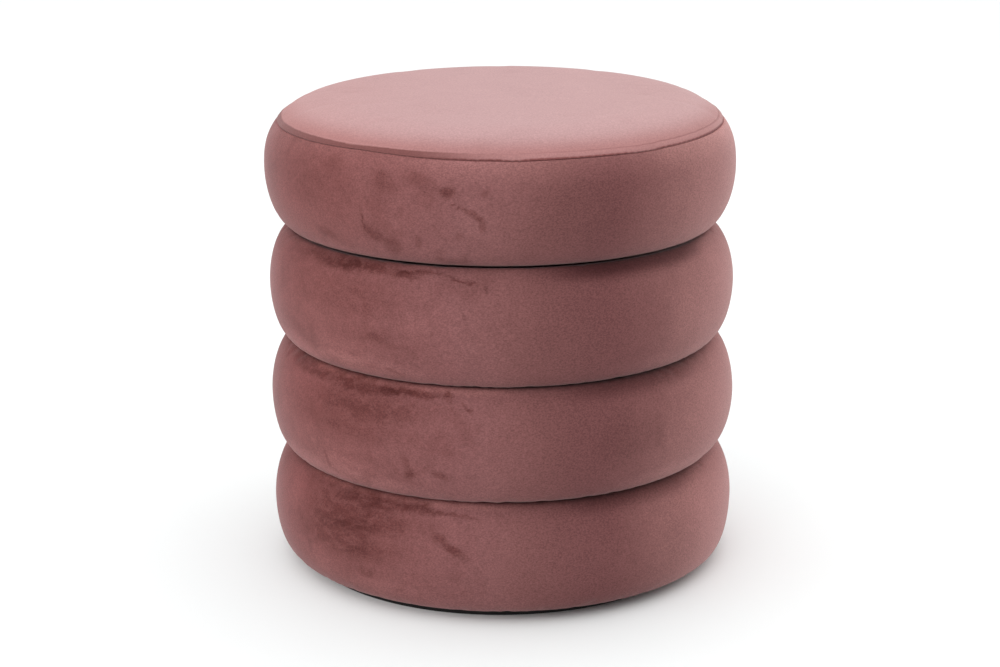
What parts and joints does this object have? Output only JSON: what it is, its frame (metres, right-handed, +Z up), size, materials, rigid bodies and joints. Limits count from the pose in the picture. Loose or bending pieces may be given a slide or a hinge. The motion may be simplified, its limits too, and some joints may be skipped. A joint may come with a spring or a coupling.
{
  "type": "round storage ottoman with a lift-off lid",
  "caption": "Round velvet storage ottoman: a drum wrapped in padded rolls, closed by a padded lift-off lid; a seat or footstool with storage inside.",
  "frame": {"origin": "centre of the underside of the base board, on the floor", "axes": "+Z up along the drum's axis; the pictured side faces -Y, and the round shape has no true front"},
  "size_m": [0.4003, 0.4004, 0.405],
  "materials": {
    "velvet": "brushed dusty rose velvet",
    "fibreboard": "plain sanded fibreboard",
    "base_board": "matte black"
  },
  "bodies": {
    "base": {"base_board": "base_board", "drum": "fibreboard", "roll_lower": "velvet", "roll_middle": "velvet", "roll_upper": "velvet"},
    "lid": {"lid_board": "fibreboard", "lid_locator": "fibreboard", "lid_band": "velvet", "lid_panel": "velvet"}
  },
  "joints": [
    {"name": "lid_lift", "type": "slide", "parent": "base", "child": "lid", "axis": [0, 0, 1], "range_m": [0, 0.25]}
  ]
}
